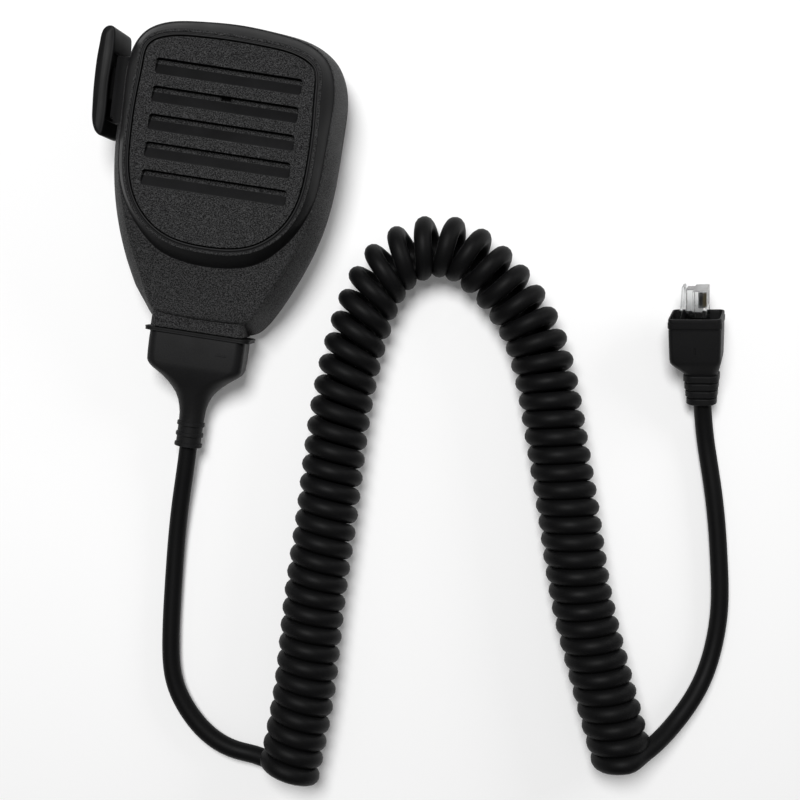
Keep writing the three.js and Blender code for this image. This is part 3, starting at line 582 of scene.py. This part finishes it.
def slot_patch(top):
    """One slot's sunk surface as a grid, its rim, and each face's material: 0 grain, 1 smooth, 2 painted
    shade, which darkens the upper wall and the sound hole's floor.
    """
    half, height, ledge = SLOT["length"] / 2, SLOT["height"], SLOT["ledge"]
    ends = np.r_[SLOT["corner"] * (1 - np.cos(np.linspace(0, math.pi / 2, 9))), 0.06, 0.14, 0.24, 0.36, 0.5]
    hole_x = HOLE["half_x"] + np.array((-0.06, 0))
    xs = np.unique(np.round(np.r_[-half + ends, half - ends, -hole_x, hole_x, np.linspace(-20, 20, 11)], 6))
    drops = np.array((0, 0.05, 0.12, 0.2, 0.3, 0.45, 1.14, 1.2, 1.55, 1.65, 1.75, 2.4, 3.4, 4.3, 4.5, 4.62,
                      4.72, height))
    # The steep upper wall's rows and the sound hole's floor get painted shade (material 2), standing in for
    # the shade in these recesses
    upper_wall, hole_rows = (0.1, 0.4), (0.44, 1.19)
    has_hole = 0 < top - HOLE["y"] < ledge
    points, centre_y = [], top - height / 2
    for x in xs:
        high = slot_half_height(x)
        squeeze = 2 * high / height
        y = high - drops * squeeze
        edge = slot_edge_distance(x, y)
        floor_depth = np.interp(height / 2 - y, (0, ledge, ledge + 0.12, height - 0.25, height),
                                (SLOT["depth"], SLOT["depth"], SLOT["depth"] - 0.03, 0.1, 0))
        wall_depth = np.interp(edge, (0, 0.05, 0.12, 0.2, 0.32), (0, 0.025, 0.11, 0.6, 1.9))
        depth = np.minimum(floor_depth, wall_depth)
        if has_hole and abs(x) < HOLE["half_x"] - 0.03:
            depth = depth + np.where(np.abs(y + centre_y - HOLE["y"]) < HOLE["half_y"], HOLE["depth"], 0)
        points.append(np.c_[np.full(len(drops), x), y + centre_y, PANEL_TOP - depth])
    rows, columns = len(drops), len(xs)
    faces, zones = [], []
    for i in range(columns - 1):
        over_hole = has_hole and abs(xs[i] + xs[i + 1]) < 2 * HOLE["half_x"]
        for j in range(rows - 1):
            a = i * rows + j
            faces.append((a, a + 1, a + rows + 1, a + rows))
            in_hole = over_hole and hole_rows[0] < drops[j] < hole_rows[1]
            if in_hole or upper_wall[0] < drops[j] < upper_wall[1]:
                zones.append(2)
            else:
                zones.append(int(drops[j] > ledge or drops[j] < upper_wall[0]))
    last = (columns - 1) * rows
    rim = list(range(rows)) + [i * rows + rows - 1 for i in range(1, columns)]
    rim += [last + j for j in range(rows - 2, -1, -1)] + [i * rows for i in range(columns - 2, 0, -1)]
    return np.vstack(points), faces, rim, zones


def front_panel():
    """The inset plate: its rounded side, the sunk slots, and flat triangles between them."""
    tops = [SLOT["top"] - i * SLOT["pitch"] for i in range(SLOT["count"])]
    sides = [ring(PANEL_EDGE, -0.15, PANEL_SEAT + GAP), ring(PANEL_EDGE, 0, PANEL_SEAT + GAP + 0.15)]
    sides += [ring(PANEL_EDGE, -inset, PANEL_TOP - drop) for inset, drop in quarter_round(0.22, 4)]
    points, faces = skin(sides)
    faces.pop()
    zones = [0] * len(faces)
    flat = [sides[-1][:, :2]]
    edges = [(i, (i + 1) % AROUND) for i in range(AROUND)]
    parts = [(points, faces)]
    for top in tops:
        patch, patch_faces, rim, patch_zones = slot_patch(top)
        start = sum(len(f) for f in flat)
        flat.append(patch[rim, :2])
        edges += [(start + i, start + (i + 1) % len(rim)) for i in range(len(rim))]
        parts.append((patch, patch_faces))
        zones += patch_zones
    flat = np.vstack(flat)
    found, _, triangles, *_ = delaunay_2d_cdt([Vector(p) for p in flat], edges, [], 1, 1e-7)
    found = np.array(found)
    kept = []
    for triangle in triangles:
        x, y = found[list(triangle)].mean(axis=0)
        if all(slot_edge_distance(x, y - (top - SLOT["height"] / 2)) < 1e-4 for top in tops):
            kept.append(tuple(triangle))
    parts.append((at(found, PANEL_TOP), kept))
    zones += [0] * len(kept)
    made = mesh_object("front_panel_plate", joined(*parts), MIC, (GRAIN, SMOOTH, PAINTED_SHADE), zones)
    return finish_piece(made, "microphone", ("front_panel",), crease=40)


front_panel()

# ---- Press-to-talk key ----
KEY_EDGE = [(-37.1, 10.2), (-37.1, 24), (-37.1, 39.6), (-37.5, 40.8), (-38.7, 41.3), (-40.1, 40.75),
            (-41.1, 39),
            (-41.4, 36.4), (-41.65, 32.4), (-41.7, 26), (-41.5, 20.4), (-41.2, 16.2), (-40.75, 12.6),
            (-40.1, 10.7),
            (-38.9, 9.1), (-37.7, 8.6)]
KEY_LOW, KEY_HIGH = -8.0, 5.6


def press_key():
    """The rocker with its two hoods that reach toward the case, and the stem behind it."""
    edge = loop_through(np.array(KEY_EDGE), 0.25)
    out = normals(edge)
    outer = np.clip((-37.6 - edge[:, 0]) / 1.6, 0, 1)
    top_radius, back_radius = 0.45 + 0.55 * outer, 0.7

    def layer(inset, z):
        deep = np.clip((KEY_HIGH - z) / (KEY_HIGH - KEY_LOW), 0, 1)
        reach = np.interp(edge[:, 1], (8.6, 13.4, 13.8, 33.3, 33.7, 37, 41), (1.7, 1.7, 0, 0, 2, 2, 2))
        flare = deep * reach * np.clip((edge[:, 0] + 39.5) / 2.4, 0, 1)
        flat = edge - out * np.reshape(inset, (-1, 1)) + np.c_[flare, np.zeros(len(edge))]
        return np.c_[flat, z]

    def drawn_in(share, crown, z):
        spine = np.c_[np.full(len(edge), -39.2), np.clip(edge[:, 1], 11.5, 38.3)]
        base = layer(top_radius if crown else np.full(len(edge), back_radius), np.full(len(edge), z))
        base[:, :2] += (spine - base[:, :2]) * share
        base[:, 2] += crown * (1 - (1 - share) ** 2)
        return base

    rings = [drawn_in(share, 0, KEY_LOW) for share in (0.9, 0.3)]
    rings += [layer(back_radius * (1 - math.sin(t)), np.full(len(edge),
                                                             KEY_LOW + back_radius * (1 - math.cos(t))))
              for t in np.linspace(0, math.pi / 2, 5)]
    rings += [layer(np.zeros(len(edge)), np.full(len(edge), z)) for z in (-4.5, -1, 2, 4.2)]
    rings += [layer(top_radius * (1 - math.cos(t)), KEY_HIGH - top_radius * (1 - math.sin(t)))
              for t in np.linspace(0, math.pi / 2, 7)]
    rings += [drawn_in(share, 0.35, KEY_HIGH) for share in (0.12, 0.3, 0.5, 0.7, 0.85)]
    points, faces = skin(rings)
    # Faces on the paddle's inner side, in the gap against the collar, get painted shade (material 1)
    inner_side = [np.mean([points[i] for i in face], axis=0) for face in faces]
    zones = [int(x > -37.6 and 13.6 < y < 33.5 and z < 5) for x, y, z in inner_side]
    made = mesh_object("press_paddle", (points, faces), MIC, (SMOOTH, PAINTED_SHADE), zones)
    finish_piece(made, "press_key", ("ptt_key",), crease=50)
    stem = [along_x(x, rounded(5 - inset, 2.7 - inset, 0.8, (24.6, 0.5))) for x, inset in
            ((-38, 0), (-28.3, 0), (-28, 0.3))]
    flange = [along_x(x, rounded(9.8 - inset, 3.2 - inset, 1, (24.6, 0.6))) for x, inset in
              ((-28.2, 0.2), (-28, 0), (-27.4, 0), (-27.2, 0.2))]
    # The stem gets painted shade all over, standing in for the shade in the gap
    made = mesh_object("press_stem", joined(skin(stem), skin(flange)), MIC, (PAINTED_SHADE,))
    finish_piece(made, "press_key")


press_key()


# ---- Stud and screws ----
def cross_recess(x, y, face, size, depth):
    """The cutter for a cross recess in a head whose face looks down."""
    arms = []
    centre, half_arm = np.array((x, y)), 0.36
    for reach in ((size, half_arm), (half_arm, size)):
        spread = np.array([(-1, -1), (1, -1), (1, 1), (-1, 1)]) * reach
        arms.append(skin([at(centre + spread * 1.1, face - 0.2), at(centre + spread * 0.45, face + depth)]))
    return [mesh_object("recess", arm, MIC) for arm in arms]


def screw_head(name, x, y, face, radius, height, shank, tip, replaces):
    profile = [(radius * 0.6, face), (radius * 0.85, face + height * 0.12),
               (radius * 0.97, face + height * 0.4),
               (radius, face + height * 0.7), (radius, face + height), (shank, face + height),
               (shank, tip - shank),
               (shank * 0.3, tip)]
    made = mesh_object(name, turned(profile, x, y), MIC, (STEEL,))
    carve(made, "DIFFERENCE", *cross_recess(x, y, face, radius * 0.56, 1.0))
    return finish_piece(made, "microphone", replaces)


for number, (x, y) in enumerate(SCREWS, 1):
    screw_head(f"case_screw_head_{number}", x, y, BACK + 0.8, 2.5, 2.3, 1.2, 2.0, (f"case_screw_{number}",))
STUD = {"y": 18, "face": -18.5, "top": BACK - GAP}


def hang_up_stud():
    face, top = STUD["face"], STUD["top"]
    profile = [(3.3, face), (7.7, face), (8.05, face + 0.08), (8.35, face + 0.3), (8.5, face + 0.65),
               (8.5, face + 1.6), (8.4, face + 1.9), (8.0, face + 2.2), (5.2, face + 2.2), (4.8, face + 2.35),
               (4.6, face + 2.7), (4.6, top - 0.3), (4.9, top), (1.9, top), (1.9, face + 1.9),
               (3.3, face + 1.9)]
    turn = np.linspace(0, 2 * math.pi, 96, endpoint=False)
    rings = [np.c_[r * np.cos(turn), STUD["y"] + r * np.sin(turn), np.full(96, z)] for r, z in profile]
    made = mesh_object("hangup_button", skin(rings, loop=True), MIC, (STEEL,))
    finish_piece(made, "microphone", ("hangup_stud",))
    screw_head("stud_screw_head", 0, STUD["y"], face + 0.3, 2.9, 1.3, 1.5, -6.4, ("stud_screw",))


hang_up_stud()


# ---- Cord boot ----
def lofted(sections):
    """Sections across y as (y, half width, half height, corner radius), with an optional centre."""
    return [along_y(y, rounded(hx, hz, r, *rest)) for y, hx, hz, r, *rest in sections]


def cord_boot():
    """A lipped block at the neck that narrows to a round sleeve with three rings, and its moulded nib."""
    sections = [(-46.1, 16.2, 8.2, 2.6), (-46.15, 16.4, 8.4, 2.8), (-46.65, 16.4, 8.4, 2.8),
                (-46.72, 16.2, 8.2, 2.6),
                (-46.85, 16.2, 8.2, 2.6), (-46.92, 16.3, 8.3, 2.7), (-47.3, 16.3, 8.3, 2.7),
                (-47.38, 16.1, 8.1, 2.6),
                (-47.4, 15.0, 7.6, 2.9), (-47.8, 14.9, 7.6, 3), (-50, 14.95, 7.7, 3), (-54, 14.9, 7.7, 3.1),
                (-56.4, 14.8, 7.65, 3.3), (-57.3, 14.5, 7.6, 3.6), (-58.1, 14.0, 7.45, 4),
                (-59, 13.1, 7.25, 4.6),
                (-60, 11.7, 7.0, 5.2), (-61.2, 10.1, 6.65, 5.5), (-62.6, 8.5, 6.2, 5.4),
                (-64.3, 6.95, 5.65, 5.2),
                (-66, 5.7, 5.15, 4.9), (-68, 4.8, 4.65, 4.5), (-70, 4.3, 4.25, 4.2), (-72, 4.02, 4.0, 3.98),
                (-74.3, 3.9, 3.9, 3.88)]
    for top, bottom in ((-74.5, -75.9), (-77.9, -79.2), (-81.2, -82.5)):
        sections += [(top, 3.9, 3.9, 3.88), (top - 0.05, 4.2, 4.2, 4.18), (top - 0.2, 4.32, 4.32, 4.3),
                     (bottom + 0.2, 4.32, 4.32, 4.3), (bottom + 0.05, 4.2, 4.2, 4.18),
                     (bottom, 3.9, 3.9, 3.88)]
    sections += [(-82.5, 2.9, 2.9, 2.88)]
    leaning = [(*section, (np.interp(section[0], (-72, -57), (-0.15, NECK_X)), -3.5)) for section in sections]
    made = mesh_object("cord_boot_sleeve", skin(lofted(leaning)), MIC, (RUBBER,))
    finish_piece(made, "microphone", ("cord_boot",), crease=28)
    nib = [(z, 1.75 - inset, 0.28 - inset) for z, inset in ((3.9, 0), (4.25, 0), (4.33, 0.1))]
    made = mesh_object("cord_boot_nib", skin([at(rounded(hx, hy, 0.25, (7.4, -52.1)), z) for z, hx,
                                              hy in nib]), MIC,
                       (RUBBER,))
    finish_piece(made, "microphone")


cord_boot()


# ---- Modular plug ----
def plug_boot():
    """A round ribbed sleeve on the cord that widens into the square hood behind the clear block."""
    sections = [(0, 3.2, 3.2, 3.1), (0.05, 4.3, 4.1, 3.2), (0.3, 4.6, 4.35, 3.2)]
    for number in range(4):
        y, grow = 0.3 + number * 2.55, 0.28 * number
        rib = (4.65 + grow, 4.4 + grow)
        groove = (4.05 + grow, 3.9 + grow)
        sections += [(y, *rib, 3.2), (y + 1.55, *rib, 3.2), (y + 1.75, rib[0] - 0.15, rib[1] - 0.15, 3.1)]
        if number < 3:
            sections += [(y + 1.8, *groove, 3.0), (y + 2.3, *groove, 3.0),
                         (y + 2.36, rib[0] + 0.1, rib[1] + 0.1, 3.1)]
    sections = [(*section, (0, 0)) for section in sections]
    for y, half_x, half_z, radius, x in (
            (9.8, 5.0, 4.8, 2.9, 0), (10.4, 5.2, 5.0, 2.6, -0.1), (11.4, 5.9, 5.5, 2.3, -0.4),
            (12.6, 6.7, 6.2, 2.1, -0.9), (13.6, 7.3, 6.8, 2.0, -1.3), (14.4, 7.65, 7.15, 1.9, -1.45),
            (15.4, 7.8, 7.3, 1.8, -1.5),
            (19.5, 7.9, 7.4, 1.7, -1.5), (24.9, 8.0, 7.45, 1.7, -1.5), (25, 7.8, 7.25, 1.5, -1.5),
            (25.4, 7.8, 7.25, 1.5, -1.5), (25.5, 8.1, 7.6, 1.7, -1.5), (25.8, 8.2, 7.7, 1.8, -1.5),
            (27.2, 8.2, 7.75, 1.8, -1.5), (27.3, 8.05, 7.55, 1.7, -1.5), (28.2, 8.05, 7.6, 1.7, -1.5),
            (28.5, 7.95, 7.5, 1.6, -1.5), (28.6, 7.85, 7.35, 1.5, -1.5),
            (28.6, 7.5, 6.95, 1.3, -1.5), (28.4, 7.4, 6.8, 1.2, -1.5), (27.6, 7.35, 6.7, 1.1, -1.5),
            (19, 7.3, 6.6, 1.1, -1.5)):
        sections.append((y, half_x, half_z, radius, (x, 0)))
    made = mesh_object("plug_boot_sleeve", skin(lofted(sections)), PLUG, (RUBBER,))
    dent = [(y, 0.35, 0.3, 0.28, (-1.4, 7.5)) for y in (17.2, 19.6)]
    carve(made, "DIFFERENCE", mesh_object("dent", skin(lofted(dent)), PLUG))
    finish_piece(made, "microphone", ("plug_boot",), crease=30)


BLOCK_X = -1.2
BLOCK = {"half_thickness": 3.3, "half_width": 5.84, "step": -1, "half_spine": 3.1, "back": 19.3, "nose": 37}
CONTACT_Z = [(i - 3.5) * 1.02 for i in range(8)]


def plug_body():
    """The clear block: full width on its contact side, with a narrower spine toward the latch."""
    back, nose, side = BLOCK["back"], BLOCK["nose"], BLOCK["half_thickness"]

    def slab(low, high, half_z, radius):
        centre = (BLOCK_X + (low + high) / 2, 0)
        stations = ((back, 0.2), (back + 0.2, 0), (nose - 0.3, 0), (nose - 0.1, 0.08), (nose, 0.25))
        return skin([along_y(y, rounded((high - low) / 2 - inset, half_z - inset, radius, centre))
                     for y, inset in stations])

    made = mesh_object("plug_block", slab(BLOCK["step"], side, BLOCK["half_width"], 0.3), PLUG, (CLEAR,))
    spine = slab(-side, BLOCK["step"] + 0.2, BLOCK["half_spine"], 0.25)
    carve(made, "UNION", mesh_object("spine", spine, PLUG))
    cutters = [bar(BLOCK_X + 0.6, BLOCK_X + 5, 31.6, 36.4, z - 0.3, z + 0.3) for z in CONTACT_Z]
    cutters += [bar(BLOCK_X + 1.9, BLOCK_X + 5, 18, 30.8, -4.6, 4.6)]
    cutters += [bar(BLOCK_X - 0.4, BLOCK_X + 2.6, low, high, min(z, z + 1), max(z, z + 1))
                for z in (5.35, -6.35) for low, high in ((32.6, 35.9), (27.2, 31.8))]
    carve(made, "DIFFERENCE", *(mesh_object("cutter", cutter, PLUG) for cutter in cutters))
    finish_piece(made, "microphone", ("plug_body",), crease=30)


def plug_latch():
    def arm(name, points, half_width):
        flat = np.array(points) + (BLOCK_X, 0)
        return mesh_object(name, skin([at(flat, -half_width), at(flat, half_width)]), PLUG, (CLEAR,))

    made = arm("plug_latch_arm", [(-3.6, 37.3), (-3.8, 37.8), (-4.5, 37.6), (-5, 30.6), (-4.3, 30.4),
                                  (-3.6, 34.8)], 3)
    carve(made, "UNION", arm("tongue", [(-4.2, 31.4), (-4.85, 31.4), (-7.2, 22), (-6.3, 22)], 1.6))
    finish_piece(made, "latch", ("plug_latch",), bevel=0.15)


plug_boot()
plug_body()
plug_latch()
BLADE = np.array([(2, 31.9), (2.4, 31.9), (2.9, 32.3), (3.1, 33), (3.1, 35.4), (2.8, 36.1), (2, 36.1)])
for number, z in enumerate(CONTACT_Z, 1):
    blade = BLADE + (BLOCK_X, 0)
    contact = mesh_object(f"plug_blade_{number}", skin([at(blade, z - 0.17), at(blade, z + 0.17)]), PLUG,
                          (GOLD,))
    finish_piece(contact, "microphone", (f"plug_contact_{number}",))


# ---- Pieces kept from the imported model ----
def paint(made_of, *names):
    for name in names:
        kept = bpy.data.objects[name]
        for place in kept.material_slots:
            place.link, place.material = "OBJECT", made_of


def numbered(name, count):
    return [f"{name}_{i}" for i in range(1, count + 1)]


paint(SCREEN, "dust_screen")
paint(RUBBER, "case_gasket", "capsule_holder")
# The key's seal gets painted shade, standing in for the shade in the gap
paint(PAINTED_SHADE, "ptt_seal")
paint(STEEL, "ptt_spring_upper", "ptt_spring_lower", "microphone_capsule", "stud_washer", "stud_nut",
      "cord_clamp",
      *numbered("board_screw", 2), *numbered("clamp_screw", 2))
paint(EPOXY, "switch_body", "amplifier_chip")
paint(WHITE, "switch_plunger", "connector_header", "connector_plug")
paint(BRASS, "ground_lug", *numbered("switch_terminal", 3))
paint(BOARD, "circuit_board")
paint(SLEEVE, *numbered("capacitor", 2))
paint(JACKET, "cord_root")
for number, wire in enumerate((WIRE_RED, WIRE_WHITE, WIRE_BLACK, WIRE_YELLOW), 1):
    paint(wire, f"lead_wire_{number}")


# ---- Cord ----
CORD_RADIUS, COIL_RADIUS = 2.8, 9.8
TURNS, POINTS_PER_TURN = 60.5, 30
# The pitch grows round the arch: by how much, where along the coil it is widest, and its reach each way.
ARCH = {"growth": 0.36, "at": 0.54, "before": 0.225, "after": 0.12}
# The turns fan out less than the arch bends: how far they lean, where the lean changes side, and its reach.
LEAN = {"angle": math.radians(10.5), "at": 0.5, "reach": 0.075}
MIC_TAIL = [(0, -88, 5.7), (-0.1, -99, 4.4), (0.2, -111, 3.3), (1.2, -125, 2.8), (3.2, -144, 2.8),
            (6.4, -157, 2.8), (12.5, -166, 2.8), (20.5, -172.6, 2.8), (29, -175.7, 2.8), (36.2, -176.5, 2.8)]
COIL_AXIS = [(47.1, -178.9), (47.9, -163), (48.1, -150), (47, -123.5), (46.8, -98), (46.1, -69),
             (46.6, -50.7),
             (48.9, -32.7), (55.2, -15.9), (70.8, -7.6), (87.2, -14.6), (100.1, -27.5), (108.3, -43.9),
             (114.4, -62), (122.3, -86.5), (129.9, -110.7), (137.2, -128.6), (142.3, -140.4), (150, -157.8)]
PLUG_TAIL = [(154.2, -155.6, 13.7), (158.3, -152.4, 11.2), (163.9, -146.9, 7.6), (169.6, -138.2, 5.2),
             (173.2, -129.5, 3.6), (175, -119, 2.8), (174.9, -107, 2.8), (173, -95, 2.8), (170, -81, 2.8),
             (166.3, -67.5, 2.8), (162.2, -54.5, 3.1)]


def coil_points():
    """The wound wire's centreline: closed turns on the legs, which fan out round the arch."""
    wire = COIL_RADIUS - CORD_RADIUS
    axis = spline([(x, y, COIL_RADIUS) for x, y in COIL_AXIS], 0.25)
    along = np.gradient(axis, axis=0)
    along /= np.linalg.norm(along, axis=1)[:, None]
    share = np.linspace(0, 1, len(axis))
    reach = np.where(share < ARCH["at"], ARCH["before"], ARCH["after"])
    density = 1 / (1 + ARCH["growth"] * np.exp(-((share - ARCH["at"]) / reach) ** 2))
    angle = np.r_[0, np.cumsum((density[1:] + density[:-1]) / 2)]
    angle = math.pi + angle / angle[-1] * TURNS * 2 * math.pi
    steps = np.linspace(angle[0], angle[-1], round(TURNS * POINTS_PER_TURN) + 1)
    centre = np.stack([np.interp(steps, angle, axis[:, k]) for k in range(3)], 1)
    forward = np.stack([np.interp(steps, angle, along[:, k]) for k in range(3)], 1)
    side = np.cross(forward, (0, 0, 1))
    side /= np.linalg.norm(side, axis=1)[:, None]
    past = (np.interp(steps, angle, share) - LEAN["at"]) / LEAN["reach"]
    lean = (LEAN["angle"] * past * np.exp((1 - past ** 2) / 2))[:, None]
    side = side * np.cos(lean) + forward * np.sin(lean)
    return centre + wire * (np.cos(steps)[:, None] * np.array((0, 0, 1)) - np.sin(steps)[:, None] * side)


def cord_points():
    """The whole cord's centreline from one boot to the other, in table millimetres."""
    coil = coil_points()
    boot_end = TABLE.inverted() @ MIC @ Vector((0, -82, -3.5))
    plug_end = TABLE.inverted() @ PLUG @ Vector((0, 4, 0))
    first = spline([tuple(boot_end), *MIC_TAIL, *coil[:6:2]], 1.5)
    first = first[:np.argmin(np.linalg.norm(first - coil[0], axis=1))]
    last = spline([*coil[-5::2], *PLUG_TAIL, tuple(plug_end)], 1.5)
    last = last[np.argmin(np.linalg.norm(last - coil[-1], axis=1)) + 1:]
    return np.vstack([first, coil, last])


def cord():
    points = np.array([TABLE @ Vector(p) for p in cord_points()])
    length = float(np.linalg.norm(np.diff(points, axis=0), axis=1).sum())
    data = bpy.data.curves.new("curly_cord", "CURVE")
    data.dimensions = "3D"
    data.bevel_depth = CORD_RADIUS * MM
    data.bevel_resolution = 5
    data.use_fill_caps = True
    line = data.splines.new("POLY")
    line.points.add(len(points) - 1)
    line.points.foreach_set("co", np.c_[points, np.ones(len(points))].ravel())
    line.use_smooth = True
    made = bpy.data.objects.new("curly_cord", data)
    bpy.context.scene.collection.objects.link(made)
    data.materials.append(JACKET)
    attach(made, "microphone")
    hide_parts("cord_tail_mic", "cord_coil", "cord_tail_plug")
    return made, length


curly_cord, cord_length = cord()
